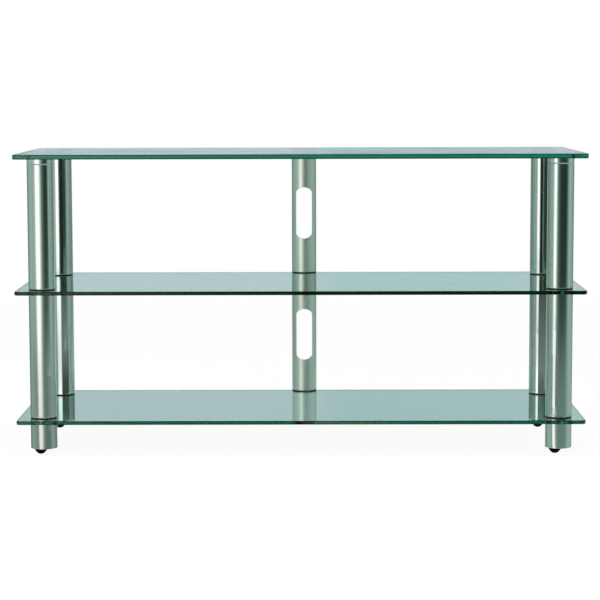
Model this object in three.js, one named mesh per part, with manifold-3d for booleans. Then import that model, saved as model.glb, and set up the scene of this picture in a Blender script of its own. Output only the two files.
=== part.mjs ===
// Audio equipment rack: three tempered glass shelves carried on four round metal
// legs, with a slotted cable tube standing near the middle of the back edge.
// Each leg is a stack of three tube pieces drawn together by a rod inside it.
// Millimetres, +Z up. The front faces -Y. The origin is on the floor, under the
// middle of the whole footprint, which the cable tube makes deeper than the glass.

import * as THREE from 'three';
import { mergeVertices } from 'three/addons/utils/BufferGeometryUtils.js';
import Module from 'manifold-3d';

const wasm = await Module();
wasm.setup();

// Glass shelves
const glassLength = 1200;
const glassDepth = 444;
const topGlassThickness = 10;
const shelfGlassThickness = 8;
const glassCornerRadius = 10;
const glassArris = 1;
const rodHoleRadius = 6;

// Metal tube, one stock for the legs and the cable tube
const tubeRadius = 28;
const tubeWall = 1.5;
const bayTubeLength = 262;
const footTubeLength = 55;

// Leg places, from the glass's ends and from its long edges
const legInsetFromEnd = 52;
const legInsetFromEdge = 55;

// Moulded plugs in the tube ends, and the play left at each seat in the stack
const plugFlangeThickness = 1.8;
const plugFlangeStep = 0.4;
const plugSpigotLength = 8;
const plugFitClearance = 0.3;
const seatGap = 0.1;

// Metal discs bonded under the top glass
const discHeight = 10;
const discThreadDepth = 8;
const bondLine = 0.1;
const centreBossRadius = 8;
const centreBossHeight = 9;

// Tie rods inside the legs
const rodRadius = 4;
const rodClearance = 0.3;
const rodEndGap = 0.3;

// Inserts in the bottoms of the legs, with the rod's thread above the foot's
const insertRecess = 1;
const insertRodHoleDepth = 12;
const insertWeb = 4;

// Levelling feet, which stand off the leg's axis towards -X
const footOffset = 7;
const footPadRadius = 5.25;
const footRadius = 13.5;
const footDomeHeight = 10;
const footRimHeight = 1.7;
const footBossRadius = 8;
const footBossHeight = 2;
const footStemRadius = 4;
const footStemLength = 16;
const footStemEndGap = 2;
const footSeatGap = 0.3;

// The dome's control point, as shares of its overhang and of its height
const domeCurveShares = { overhang: 0.7, height: 0.4 };

// How far the cable tube stands to the right of the rack's middle
const cableTubeOffset = 6.3;

// The cable tubes' slots. Each front one is cut at its own height from its tube's
// middle. The back ones are taller, and stand at the middle.
const slotWidth = 36;
const slotEndCrown = 10.7;
const frontSlotHeight = 117;
const backSlotHeight = 136;
const upperFrontSlotLift = 4.6;
const lowerFrontSlotLift = -0.6;

// Moulded joiners that grip the glass's back edge
const neckRadius = 20.5;
const neckWall = 3.5;
const spigotWall = 3;
const neckEdgeGap = 0.3;
const baseFlangeThickness = 3;

// How far a cutting solid runs past what it cuts
const overrun = 1;

// Facets
const tubeSides = 32;
const cableTubeSides = 36;
const plugSides = 14;
const joinerSides = 20;
const footSides = 16;
const holeSides = 12;
const rodSides = 8;
const cornerSteps = 4;
const slotArcSteps = 6;
const domeSteps = 3;

// Radii that follow from the tube
const boreRadius = tubeRadius - tubeWall;
const spigotRadius = boreRadius - plugFitClearance;
const flangeRadius = tubeRadius - plugFlangeStep;
const rodHoleInMetalRadius = rodRadius + rodClearance;
const stemHoleRadius = footStemRadius + rodClearance;
const centreBossHoleRadius = centreBossRadius + plugFitClearance;

// Heights, from the floor up
const seatHeight = plugFlangeThickness + 2 * seatGap;
const footShoulderZ = footDomeHeight + footRimHeight + footBossHeight;
const insertBottomZ = footShoulderZ + footSeatGap;
const insertFootHoleDepth = footStemLength + footStemEndGap;
const insertHeight = insertFootHoleDepth + insertWeb + insertRodHoleDepth;
const footTubeZ = insertBottomZ - insertRecess;
const bottomGlassZ = footTubeZ + footTubeLength + seatHeight;
const lowerTubeZ = bottomGlassZ + shelfGlassThickness + seatHeight;
const middleGlassZ = lowerTubeZ + bayTubeLength + seatHeight;
const upperTubeZ = middleGlassZ + shelfGlassThickness + seatHeight;
const discZ = upperTubeZ + bayTubeLength + seatHeight;
const topGlassZ = discZ + discHeight + bondLine;
const rodBottomZ = insertBottomZ + insertHeight - insertRodHoleDepth + rodEndGap;
const rodTopZ = discZ + discThreadDepth - rodEndGap;

// Places in plan
const glassCentreY = -tubeRadius / 2;
const legX = glassLength / 2 - legInsetFromEnd;
const legY = glassDepth / 2 - legInsetFromEdge;
const cableTubeY = glassCentreY + glassDepth / 2;

// Materials
const glass = new THREE.MeshStandardMaterial({
  color: 0xa9cfc4, roughness: 0.04, metalness: 0, transparent: true, opacity: 0.4,
});
const satinSteel = new THREE.MeshStandardMaterial({ color: 0xb4bbb7, roughness: 0.32, metalness: 1 });
const polishedSteel = new THREE.MeshStandardMaterial({ color: 0xc4cac7, roughness: 0.16, metalness: 1 });
const zincSteel = new THREE.MeshStandardMaterial({ color: 0xa7abae, roughness: 0.4, metalness: 1 });
const turnedAluminium = new THREE.MeshStandardMaterial({ color: 0xb9bcbd, roughness: 0.45, metalness: 1 });
const blackNylon = new THREE.MeshStandardMaterial({ color: 0x141615, roughness: 0.55, metalness: 0 });
const naturalNylon = new THREE.MeshStandardMaterial({ color: 0xe4e8e1, roughness: 0.5, metalness: 0 });
const blackRubber = new THREE.MeshStandardMaterial({ color: 0x0d0e0e, roughness: 0.75, metalness: 0 });

// A turned solid. The profile lists [radius, height] points with the material on
// the left of the way it runs: out along the bottom, up the outside, in along the
// top. It starts and ends on the axis, or comes back to its first point.
function turned(profile, sides) {
  const points = profile.map(([radius, height]) => new THREE.Vector2(radius, height));
  const geometry = new THREE.LatheGeometry(points, sides);
  geometry.rotateX(Math.PI / 2);
  return geometry;
}

// The same profile upside down, still running the right way round.
function upsideDown(profile) {
  return profile.map(([radius, height]) => [radius, -height]).reverse();
}

function raised(profile, by) {
  return profile.map(([radius, height]) => [radius, height + by]);
}

function ringProfile(innerRadius, outerRadius, bottom, top) {
  return [
    [innerRadius, bottom],
    [outerRadius, bottom],
    [outerRadius, top],
    [innerRadius, top],
    [innerRadius, bottom],
  ];
}

function rodProfile(radius, bottom, top) {
  return [[0, bottom], [radius, bottom], [radius, top], [0, top]];
}

// Closed mesh to solid and back, for the pieces that are joined or cut.
function toSolid(geometry) {
  const bare = geometry.clone();
  bare.deleteAttribute('normal');
  bare.deleteAttribute('uv');
  const merged = mergeVertices(bare);
  const index = merged.index.array;
  const kept = [];
  for (let i = 0; i < index.length; i += 3) {
    const [a, b, c] = [index[i], index[i + 1], index[i + 2]];
    if (a !== b && b !== c && c !== a) kept.push(a, b, c);
  }
  return new wasm.Manifold(new wasm.Mesh({
    numProp: 3,
    vertProperties: merged.attributes.position.array,
    triVerts: new Uint32Array(kept),
  }));
}

function toGeometry(solid) {
  const mesh = solid.getMesh();
  const geometry = new THREE.BufferGeometry();
  geometry.setAttribute('position', new THREE.BufferAttribute(mesh.vertProperties, 3));
  geometry.setIndex(new THREE.BufferAttribute(mesh.triVerts, 1));
  geometry.computeVertexNormals();
  return geometry;
}

// A rectangle with rounded corners, drawn about its middle.
function roundedRectangle(length, depth, radius) {
  const x = length / 2;
  const y = depth / 2;
  const shape = new THREE.Shape();
  shape.moveTo(radius - x, -y);
  shape.lineTo(x - radius, -y);
  shape.absarc(x - radius, radius - y, radius, -Math.PI / 2, 0);
  shape.lineTo(x, y - radius);
  shape.absarc(x - radius, y - radius, radius, 0, Math.PI / 2);
  shape.lineTo(radius - x, y);
  shape.absarc(radius - x, y - radius, radius, Math.PI / 2, Math.PI);
  shape.lineTo(-x, radius - y);
  shape.absarc(radius - x, radius - y, radius, Math.PI, 1.5 * Math.PI);
  return shape;
}

function roundHole(x, y, radius) {
  const hole = new THREE.Path();
  for (let i = 0; i < holeSides; i += 1) {
    const angle = (-2 * Math.PI * i) / holeSides;
    const px = x + radius * Math.cos(angle);
    const py = y + radius * Math.sin(angle);
    if (i === 0) hole.moveTo(px, py);
    else hole.lineTo(px, py);
  }
  hole.closePath();
  return hole;
}

// A glass plate lying on z = 0, with its edges' corners ground off.
function glassPlate(thickness, drilled) {
  const shape = roundedRectangle(glassLength, glassDepth, glassCornerRadius);
  if (drilled) {
    for (const x of [-legX, legX]) {
      for (const y of [-legY, legY]) shape.holes.push(roundHole(x, y, rodHoleRadius));
    }
  }
  const plate = new THREE.ExtrudeGeometry(shape, {
    depth: thickness - 2 * glassArris,
    bevelThickness: glassArris,
    bevelSize: glassArris,
    bevelOffset: -glassArris,
    bevelSegments: 1,
    curveSegments: cornerSteps,
  });
  plate.translate(0, 0, glassArris);
  return plate;
}

function legTube(length) {
  return turned(ringProfile(boreRadius, tubeRadius, 0, length), tubeSides);
}

// A plug's flange lies between the tube's end and what the tube stands against,
// and its spigot centres the tube. z = 0 is the flange's outer face.
function plugProfile(holeRadius) {
  const top = plugFlangeThickness + plugSpigotLength;
  return [
    [holeRadius, 0],
    [flangeRadius, 0],
    [flangeRadius, plugFlangeThickness],
    [spigotRadius, plugFlangeThickness],
    [spigotRadius, top],
    [holeRadius, top],
    [holeRadius, 0],
  ];
}

// The disc that a leg's rod screws up into. z = 0 is its lower face.
function legDisc() {
  const profile = [
    [0, discThreadDepth],
    [rodHoleInMetalRadius, discThreadDepth],
    [rodHoleInMetalRadius, 0],
    [tubeRadius, 0],
    [tubeRadius, discHeight],
    [0, discHeight],
  ];
  return turned(profile, tubeSides);
}

// The disc over the cable tube. Its boss hangs down through the tube's top plug.
function centreDisc() {
  const profile = [
    [0, -centreBossHeight],
    [centreBossRadius, -centreBossHeight],
    [centreBossRadius, 0],
    [tubeRadius, 0],
    [tubeRadius, discHeight],
    [0, discHeight],
  ];
  return turned(profile, tubeSides);
}

// The metal insert in a leg's bottom: a blind thread from above on the axis for
// the rod, and one from below, off the axis, for the levelling foot.
function footInsert() {
  const body = toSolid(turned(rodProfile(spigotRadius, 0, insertHeight), tubeSides));
  const rodHoleBottom = insertHeight - insertRodHoleDepth;
  const rodHoleTop = insertHeight + overrun;
  const rodHole = turned(rodProfile(rodHoleInMetalRadius, rodHoleBottom, rodHoleTop), holeSides);
  const stemHole = turned(rodProfile(stemHoleRadius, -overrun, insertFootHoleDepth), holeSides);
  stemHole.translate(-footOffset, 0, 0);
  return toGeometry(body.subtract(toSolid(rodHole)).subtract(toSolid(stemHole)));
}

// A levelling foot standing on z = 0: a domed pad on a threaded stem.
function levellingFoot() {
  const overhang = footRadius - footPadRadius;
  const dome = new THREE.QuadraticBezierCurve(
    new THREE.Vector2(footPadRadius, 0),
    new THREE.Vector2(
      footPadRadius + domeCurveShares.overhang * overhang,
      domeCurveShares.height * footDomeHeight,
    ),
    new THREE.Vector2(footRadius, footDomeHeight),
  );
  const rimTop = footDomeHeight + footRimHeight;
  const stemTop = footShoulderZ + footStemLength;
  const profile = [
    [0, 0],
    ...dome.getPoints(domeSteps).map((point) => [point.x, point.y]),
    [footRadius, rimTop],
    [footBossRadius, rimTop],
    [footBossRadius, footShoulderZ],
    [footStemRadius, footShoulderZ],
    [footStemRadius, stemTop],
    [0, stemTop],
  ];
  return turned(profile, footSides);
}

// The slot that cables go in and out by: straight sides and shallow curved ends.
function slotShape(height) {
  const halfWidth = slotWidth / 2;
  const straightTop = height / 2 - slotEndCrown;
  const endRadius = (halfWidth ** 2 + slotEndCrown ** 2) / (2 * slotEndCrown);
  const endCentre = height / 2 - endRadius;
  const right = Math.atan2(straightTop - endCentre, halfWidth);
  const shape = new THREE.Shape();
  shape.moveTo(halfWidth, -straightTop);
  shape.lineTo(halfWidth, straightTop);
  shape.absarc(0, endCentre, endRadius, right, Math.PI - right);
  shape.lineTo(-halfWidth, -straightTop);
  shape.absarc(0, -endCentre, endRadius, Math.PI + right, 2 * Math.PI - right);
  return shape;
}

// What a slot takes out of one wall. It runs from startY towards the front, with
// the tube's axis at y = 0.
function slotCut(height, startY, lift) {
  const cut = new THREE.ExtrudeGeometry(slotShape(height), {
    depth: tubeRadius + overrun,
    bevelEnabled: false,
    curveSegments: slotArcSteps,
  });
  cut.rotateX(Math.PI / 2);
  cut.translate(0, startY, bayTubeLength / 2 + lift);
  return toSolid(cut);
}

// One length of cable tube, slotted through its front and its back wall.
function cableTube(frontSlotLift) {
  const tube = toSolid(turned(ringProfile(boreRadius, tubeRadius, 0, bayTubeLength), cableTubeSides));
  const frontCut = slotCut(frontSlotHeight, 0, frontSlotLift);
  const backCut = slotCut(backSlotHeight, tubeRadius + overrun, 0);
  return toGeometry(tube.subtract(frontCut).subtract(backCut));
}

// The part of a joiner that stands on the glass and holds a tube's end. z = 0 is
// its face towards the glass.
function joinerEndProfile() {
  const bore = neckRadius - neckWall;
  const spigotBore = spigotRadius - spigotWall;
  const top = plugFlangeThickness + plugSpigotLength;
  return [
    [bore, 0],
    [flangeRadius, 0],
    [flangeRadius, plugFlangeThickness],
    [spigotRadius, plugFlangeThickness],
    [spigotRadius, top],
    [spigotBore, top],
    [spigotBore, plugFlangeThickness],
    [bore, plugFlangeThickness],
    [bore, 0],
  ];
}

// The half round neck behind the glass's back edge, which joins a joiner's two
// faces and leaves its middle open for cables.
function joinerNeck(bottom, top) {
  const bore = neckRadius - neckWall;
  const lift = Math.asin(neckEdgeGap / neckRadius);
  const boreLift = Math.asin(neckEdgeGap / bore);
  const shape = new THREE.Shape();
  shape.absarc(0, 0, neckRadius, lift, Math.PI - lift);
  shape.absarc(0, 0, bore, Math.PI - boreLift, boreLift, true);
  const neck = new THREE.ExtrudeGeometry(shape, {
    depth: top - bottom,
    bevelEnabled: false,
    curveSegments: joinerSides / 2,
  });
  neck.translate(0, 0, bottom);
  return neck;
}

// The joiner at the middle shelf, with z = 0 at the glass's lower face.
function joiner() {
  const upperFace = shelfGlassThickness + seatGap;
  const overlap = plugFlangeThickness / 2;
  const upper = turned(raised(joinerEndProfile(), upperFace), joinerSides);
  const lower = turned(raised(upsideDown(joinerEndProfile()), -seatGap), joinerSides);
  const neck = joinerNeck(-seatGap - overlap, upperFace + overlap);
  return toGeometry(toSolid(upper).add(toSolid(lower)).add(toSolid(neck)));
}

// The joiner at the bottom shelf, whose lower side is a plain ring.
function jointBase() {
  const upperFace = shelfGlassThickness + seatGap;
  const bore = neckRadius - neckWall;
  const bottom = -seatGap - baseFlangeThickness;
  const upper = turned(raised(joinerEndProfile(), upperFace), joinerSides);
  const lower = turned(ringProfile(bore, flangeRadius, bottom, -seatGap), joinerSides);
  const neck = joinerNeck(-seatGap - baseFlangeThickness / 2, upperFace + plugFlangeThickness / 2);
  return toGeometry(toSolid(upper).add(toSolid(lower)).add(toSolid(neck)));
}

function addPiece(group, name, geometry, material, z) {
  const piece = new THREE.Mesh(geometry, material);
  piece.name = name;
  piece.position.z = z;
  group.add(piece);
}

const rack = new THREE.Group();

// Shelves
const shelves = new THREE.Group();
shelves.position.y = glassCentreY;
addPiece(shelves, 'bottom_glass', glassPlate(shelfGlassThickness, true), glass, bottomGlassZ);
addPiece(shelves, 'middle_glass', glassPlate(shelfGlassThickness, true), glass, middleGlassZ);
addPiece(shelves, 'top_glass', glassPlate(topGlassThickness, false), glass, topGlassZ);
rack.add(shelves);

// Legs. Every leg has the same pieces, so each shape is made once.
const bayTubeShape = legTube(bayTubeLength);
const footTubeShape = legTube(footTubeLength);
const standingPlug = turned(plugProfile(rodHoleInMetalRadius), plugSides);
const hangingPlug = turned(upsideDown(plugProfile(rodHoleInMetalRadius)), plugSides);
const discShape = legDisc();
const rodShape = turned(rodProfile(rodRadius, 0, rodTopZ - rodBottomZ), rodSides);
const insertShape = footInsert();
const footShape = levellingFoot();

const legPlaces = {
  front_left: [-legX, -legY],
  front_right: [legX, -legY],
  rear_left: [-legX, legY],
  rear_right: [legX, legY],
};

for (const [place, [x, y]] of Object.entries(legPlaces)) {
  const leg = new THREE.Group();
  leg.position.set(x, glassCentreY + y, 0);

  addPiece(leg, `${place}_foot_tube`, footTubeShape, satinSteel, footTubeZ);
  addPiece(leg, `${place}_lower_tube`, bayTubeShape, satinSteel, lowerTubeZ);
  addPiece(leg, `${place}_upper_tube`, bayTubeShape, satinSteel, upperTubeZ);
  addPiece(leg, `${place}_top_disc`, discShape, polishedSteel, discZ);

  const plugs = [
    ['foot_tube_top', hangingPlug, bottomGlassZ - seatGap, blackNylon],
    ['lower_tube_bottom', standingPlug, bottomGlassZ + shelfGlassThickness + seatGap, blackNylon],
    ['lower_tube_top', hangingPlug, middleGlassZ - seatGap, blackNylon],
    ['upper_tube_bottom', standingPlug, middleGlassZ + shelfGlassThickness + seatGap, blackNylon],
    ['upper_tube_top', hangingPlug, discZ - seatGap, naturalNylon],
  ];
  for (const [where, shape, z, nylon] of plugs) addPiece(leg, `${place}_${where}_plug`, shape, nylon, z);

  addPiece(leg, `${place}_tie_rod`, rodShape, zincSteel, rodBottomZ);
  addPiece(leg, `${place}_foot_insert`, insertShape, turnedAluminium, insertBottomZ);

  const footPlace = new THREE.Group();
  footPlace.position.x = -footOffset;
  addPiece(footPlace, `${place}_levelling_foot`, footShape, blackRubber, 0);
  leg.add(footPlace);

  rack.add(leg);
}

// Cable tube, on the glass's back edge and a little to the right of its middle
const cableRun = new THREE.Group();
cableRun.position.set(cableTubeOffset, cableTubeY, 0);
const lowerCableTube = cableTube(lowerFrontSlotLift);
const upperCableTube = cableTube(upperFrontSlotLift);
const centrePlug = turned(upsideDown(plugProfile(centreBossHoleRadius)), joinerSides);
addPiece(cableRun, 'cable_tube_base', jointBase(), blackNylon, bottomGlassZ);
addPiece(cableRun, 'lower_cable_tube', lowerCableTube, satinSteel, lowerTubeZ);
addPiece(cableRun, 'cable_tube_joiner', joiner(), blackNylon, middleGlassZ);
addPiece(cableRun, 'upper_cable_tube', upperCableTube, satinSteel, upperTubeZ);
addPiece(cableRun, 'cable_tube_top_plug', centrePlug, blackNylon, discZ - seatGap);
addPiece(cableRun, 'cable_tube_top_disc', centreDisc(), polishedSteel, discZ);
rack.add(cableRun);

export default rack;
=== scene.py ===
import math

import bmesh
import bpy
from mathutils import Matrix, Vector
from mathutils.geometry import tessellate_polygon


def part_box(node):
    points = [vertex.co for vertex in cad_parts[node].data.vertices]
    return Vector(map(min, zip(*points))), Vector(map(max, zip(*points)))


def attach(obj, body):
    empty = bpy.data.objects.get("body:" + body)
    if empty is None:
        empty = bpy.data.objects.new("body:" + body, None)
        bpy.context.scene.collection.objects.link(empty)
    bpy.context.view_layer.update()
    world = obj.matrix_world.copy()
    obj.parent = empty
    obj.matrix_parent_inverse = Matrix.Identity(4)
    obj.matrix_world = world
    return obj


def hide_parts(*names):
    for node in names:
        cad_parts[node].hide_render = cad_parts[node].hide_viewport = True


# Audio equipment rack: three tempered glass shelves on four legs of satin steel tube,
# and a slotted cable tube at the middle of the back edge. Sizes are in millimetres.

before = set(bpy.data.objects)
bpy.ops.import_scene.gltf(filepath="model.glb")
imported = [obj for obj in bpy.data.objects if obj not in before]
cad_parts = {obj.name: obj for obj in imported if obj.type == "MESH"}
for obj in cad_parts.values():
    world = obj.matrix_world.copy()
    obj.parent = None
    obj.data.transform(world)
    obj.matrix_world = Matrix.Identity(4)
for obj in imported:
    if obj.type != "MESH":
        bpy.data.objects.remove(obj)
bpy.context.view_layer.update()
mm = 0.001

legPlaces = ("front_left", "front_right", "rear_left", "rear_right")

# Edges that turn by more than these degrees stay sharp, or on the slotted tubes are rounded.
sharpFrom = {"glass": 30, "joined": 35, "turned": 40, "slotted": 50, "pad": 50}


def linear(hexColour):
    channels = [int(hexColour[i:i + 2], 16) / 255 for i in (1, 3, 5)]
    bent = [c / 12.92 if c <= 0.04045 else ((c + 0.055) / 1.055) ** 2.4 for c in channels]
    return (*bent, 1.0)


# Adds a node, with its own settings and with a value or a link for each input, and gives
# its outputs.
def addNode(tree, kind, settings=None, inputs=None):
    node = tree.nodes.new(kind)
    for name, value in (settings or {}).items():
        setattr(node, name, value)
    for socket, value in (inputs or {}).items():
        if isinstance(value, bpy.types.NodeSocket):
            tree.links.new(value, node.inputs[socket])
        else:
            node.inputs[socket].default_value = value
    return node.outputs


def newMaterial(name):
    material = bpy.data.materials.new(name)
    material.use_nodes = True
    material.node_tree.nodes.clear()
    return material, material.node_tree


def linked(obj):
    bpy.context.scene.collection.objects.link(obj)
    return obj


def objectFrom(name, bm):
    mesh = bpy.data.meshes.new(name)
    bm.to_mesh(mesh)
    bm.free()
    return linked(bpy.data.objects.new(name, mesh))


# Takes an object's evaluated mesh as its own, and drops the modifiers.
def settle(obj):
    graph = bpy.context.evaluated_depsgraph_get()
    mesh = bpy.data.meshes.new_from_object(
        obj.evaluated_get(graph), preserve_all_data_layers=True, depsgraph=graph)
    obj.modifiers.clear()
    obj.data = mesh
    mesh.name = obj.name


def axisOf(node):
    low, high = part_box(node)
    return (low.x + high.x) / 2, (low.y + high.y) / 2


# A node's lowest and highest points, in millimetres
def heightsOf(node):
    return [corner.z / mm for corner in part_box(node)]


# What each surface is and how it was made. "marks" are the width and length of fine lines
# round a piece, and "grain" is the size of the pattern on one without them. "detail" and
# "contrast" are the pattern's own, "span" is the part of its range that counts, "bump" its
# strength and depth, and "clouds" the scale and detail of a slower pattern for the tones.
metal = {"Metallic": 1.0}
tubeSteel = {"detail": 4.0, "contrast": 0.6, "span": (0.3, 0.7), "bump": (0.08, 0.02)}
nylon = {"grain": 0.6, "span": (0.3, 0.7), "bump": (0.4, 0.02), "clouds": (60.0, 2.0),
         "shader": {"IOR": 1.5, "Specular IOR Level": 0.5}}
# The green and blue greys in the stainless steels' tones are a painted cast of the light they
# mirror, not the steel's own colour.
finishes = {
    # 304 stainless tube, belt polished round its girth: it mirrors sharply across the tube,
    # and its anisotropy draws the reflections out along it
    "beltPolishedStainlessSteel": {
        **tubeSteel, "tones": ("#BAC5BF", "#C0CBC5"), "roughness": (0.15, 0.18),
        "marks": (1.2, 60), "shader": {**metal, "Anisotropic": 0.55}},
    # The same tube, brushed: soft both ways. Its paler tones are painted light that brightens its
    # reflections
    "brushedStainlessSteel": {
        **tubeSteel, "tones": ("#CFD9CF", "#D7E0D6"), "roughness": (0.36, 0.41),
        "marks": (0.9, 40), "shader": metal},
    # 304 stainless, turned and buffed: clearer reflections than the brushed tube's
    "buffedStainlessSteel": {
        "tones": ("#BDCCCE", "#C8D6D8"), "roughness": (0.14, 0.22), "marks": (0.8, 30),
        "shader": metal},
    # PA6 nylon, injection moulded: near black, half dull
    "mouldedBlackNylon": {
        **nylon, "tones": ("#131615", "#1B1F1D"), "roughness": (0.45, 0.6)},
    # PA6 nylon without pigment: milky and half dull, its grey tone painted shade under the discs,
    # so the joint under them is faint
    "mouldedNaturalNylonInShade": {
        **nylon, "tones": ("#93A3A1", "#9DADAA"), "roughness": (0.4, 0.55)},
    # Styrene rubber, moulded: black, dull and slightly sooty
    "mouldedBlackRubber": {
        **nylon, "tones": ("#030303", "#060707"), "roughness": (0.6, 0.8), "grain": 0.8,
        "bump": (0.4, 0.04), "shader": {"IOR": 1.5, "Specular IOR Level": 0.05}},
    # Carbon steel, cold rolled thread, zinc plated: pale blue grey
    "zincPlatedSteel": {
        "tones": ("#9CA3A8", "#B4B9BC"), "roughness": (0.32, 0.45), "grain": 2.0, "detail": 4.0,
        "shader": metal},
    # 6082 aluminium, turned: pale, with a dull sheen
    "turnedAluminium": {
        "tones": ("#AEB1B2", "#C2C4C5"), "roughness": (0.38, 0.5), "grain": 0.9, "detail": 4.0,
        "shader": metal},
}
whole = (0.0, 1.0)


def surfaceMaterial(name):
    finish = {"detail": 3.0, "contrast": 0.5, "span": whole, **finishes[name]}
    given = dict(finish["shader"])
    material, tree = newMaterial(name)
    noise = {"Detail": finish["detail"], "Roughness": finish["contrast"]}
    if "marks" in finish:
        # The UV map holds the way along a piece and the way round it, in metres.
        grain = addNode(tree, "ShaderNodeUVMap", {"uv_map": "grain"})
        place = addNode(tree, "ShaderNodeMapping", inputs={
            "Vector": grain[0], "Scale": [1 / (size * mm) for size in finish["marks"]] + [1]})[0]
        pattern = addNode(tree, "ShaderNodeTexNoise", {"noise_dimensions": "2D"}, {
            "Vector": place, "Scale": 1.0, **noise})[0]
    else:
        place = addNode(tree, "ShaderNodeTexCoord")["Object"]
        pattern = addNode(tree, "ShaderNodeTexNoise", inputs={
            "Vector": place, "Scale": 1 / (finish["grain"] * mm), **noise})[0]
    shades, shadeSpan = pattern, finish["span"]
    if "clouds" in finish:
        scale, detail = finish["clouds"]
        shades, shadeSpan = addNode(tree, "ShaderNodeTexNoise", inputs={
            "Vector": place, "Scale": scale, "Detail": detail})[0], whole
    tone = addNode(tree, "ShaderNodeValToRGB", inputs={0: shades})[0]
    for stop, position, colour in zip(tone.node.color_ramp.elements, shadeSpan, finish["tones"]):
        stop.position = position
        stop.color = linear(colour)
    limits = (*finish["span"], *finish["roughness"])
    dull = addNode(tree, "ShaderNodeMapRange", inputs={0: pattern, **dict(enumerate(limits, 1))})
    if "bump" in finish:
        strength, depth = finish["bump"]
        given["Normal"] = addNode(tree, "ShaderNodeBump", inputs={
            "Strength": strength, "Distance": depth * mm, "Height": pattern})[0]
    if "Anisotropic" in given:
        given["Tangent"] = addNode(tree, "ShaderNodeTangent", {
            "direction_type": "UV_MAP", "uv_map": "grain"})[0]
    shader = addNode(tree, "ShaderNodeBsdfPrincipled", inputs={
        **given, "Base Color": tone, "Roughness": dull[0]})
    addNode(tree, "ShaderNodeOutputMaterial", inputs={0: shader[0]})
    return material


# How deep a green each shelf's edge shows, and the grey green of its faces when the eye meets them
# slantwise. The glass is the same on every shelf, so the middle shelf's deeper green edge and the
# lower shelves' darker grey green faces are painted shade. Seen from above, the faces are clear.
glassTintsAndPaintedShade = {
    "top": {"depth": 10.0, "slanted": "#E8F0EE"},
    "middle": {"depth": 24.0, "slanted": "#B8C9C6"},
    "bottom": {"depth": 13.0, "slanted": "#769A96"},
}
# The arrises' dark tone paints a dark line along every edge of the glass; it is not the ground
# glass's own colour.
glassLook = {
    "face": "#F2F8F6", "edge": "#DDE8E5", "arris": "#3E564D", "absorbs": (0.04, 0.68, 0.56, 1),
    "ior": 1.52, "slant": (0.5, 0.84), "edgeRoughness": 0.12, "edgeSheen": 0.45,
    "waveLength": 200, "waveDepth": 0.1,
}


def glassMaterial(shelf):
    # Float glass, toughened, with ground and polished edges: clear on its faces, and green
    # wherever the eye looks a long way through it. The rollers of the furnace leave the faces
    # sharp, but faintly wavy.
    look = glassLook
    material, tree = newMaterial("toughenedFloatGlass_" + shelf)
    place = addNode(tree, "ShaderNodeTexCoord")
    waves = addNode(tree, "ShaderNodeTexNoise", inputs={
        "Vector": place["Object"], "Scale": 1 / (look["waveLength"] * mm), "Detail": 1.0})
    wavy = addNode(tree, "ShaderNodeBump", inputs={
        "Strength": 1.0, "Distance": look["waveDepth"] * mm, "Height": waves[0]})
    # "groundEdge" is 0 on the faces, a half on the upright edge and 1 along its arrises.
    edge = addNode(tree, "ShaderNodeAttribute", {"attribute_name": "groundEdge"})
    atEdge, atArris, ground, sheen = (
        addNode(tree, "ShaderNodeMapRange", inputs={
            0: edge["Fac"], 1: start, 2: start + 0.5, 3: low, 4: high})[0]
        for start, low, high in ((0.0, 0.0, 1.0), (0.5, 0.0, 1.0),
                                 (0.0, 0.0, look["edgeRoughness"]), (0.0, 1.0, look["edgeSheen"])))
    slant = addNode(tree, "ShaderNodeLayerWeight")
    slanted = addNode(tree, "ShaderNodeMapRange", inputs={
        0: slant["Facing"], 1: look["slant"][0], 2: look["slant"][1], 3: 0.0, 4: 1.0})
    face = addNode(tree, "ShaderNodeMix", {"data_type": "RGBA"}, {
        0: slanted[0], 6: linear(look["face"]), 7: linear(glassTintsAndPaintedShade[shelf]["slanted"])})
    # Along the arrises the tone turns dark: a painted dark line.
    rim = addNode(tree, "ShaderNodeMix", {"data_type": "RGBA"}, {
        0: atArris, 6: linear(look["edge"]), 7: linear(look["arris"])})
    tone = addNode(tree, "ShaderNodeMix", {"data_type": "RGBA"}, {
        0: atEdge, 6: face[2], 7: rim[2]})
    shader = addNode(tree, "ShaderNodeBsdfPrincipled", inputs={
        "Base Color": tone[2], "Roughness": ground, "Normal": wavy[0],
        "IOR": look["ior"], "Specular Tint": sheen, "Transmission Weight": 1.0})
    body = addNode(tree, "ShaderNodeVolumeAbsorption", inputs={
        "Color": look["absorbs"], "Density": glassTintsAndPaintedShade[shelf]["depth"]})
    addNode(tree, "ShaderNodeOutputMaterial", inputs={"Surface": shader[0], "Volume": body[0]})
    return material


# In the order of the finishes
(polishedTube, brushedTube, buffedSteel, blackNylon, naturalNylonInShade, blackRubber, zincSteel,
 turnedAluminium) = (surfaceMaterial(name) for name in finishes)
floatGlass = {shelf: glassMaterial(shelf) for shelf in glassTintsAndPaintedShade}
print("materials made")


# A point on the curve from a start to an end, drawn towards a bend between them
def curved(start, bend, end, t):
    return start * (1 - t) ** 2 + bend * 2 * t * (1 - t) + end * t ** 2


# A profile with its corners rounded off in a few short steps. A round takes up no more than
# a share of either side, and a corner that hardly turns stays as it is.
def roundedProfile(points, radius, steps=3, mostOfSide=0.4, nearlyStraight=0.95):
    done = []
    for i, (r, z) in enumerate(points):
        here = Vector((r, z))
        toBefore = Vector(points[i - 1]) - here
        toAfter = Vector(points[(i + 1) % len(points)]) - here
        turn = abs(toBefore.normalized().dot(toAfter.normalized()))
        if r == 0 or toBefore.length == 0 or turn > nearlyStraight:
            done.append((r, z))
            continue
        reach = min(radius, mostOfSide * toBefore.length, mostOfSide * toAfter.length)
        start = here + toBefore.normalized() * reach
        end = here + toAfter.normalized() * reach
        for k in range(steps + 1):
            point = curved(start, here, end, k / steps)
            done.append((point.x, point.y))
    return done


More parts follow.
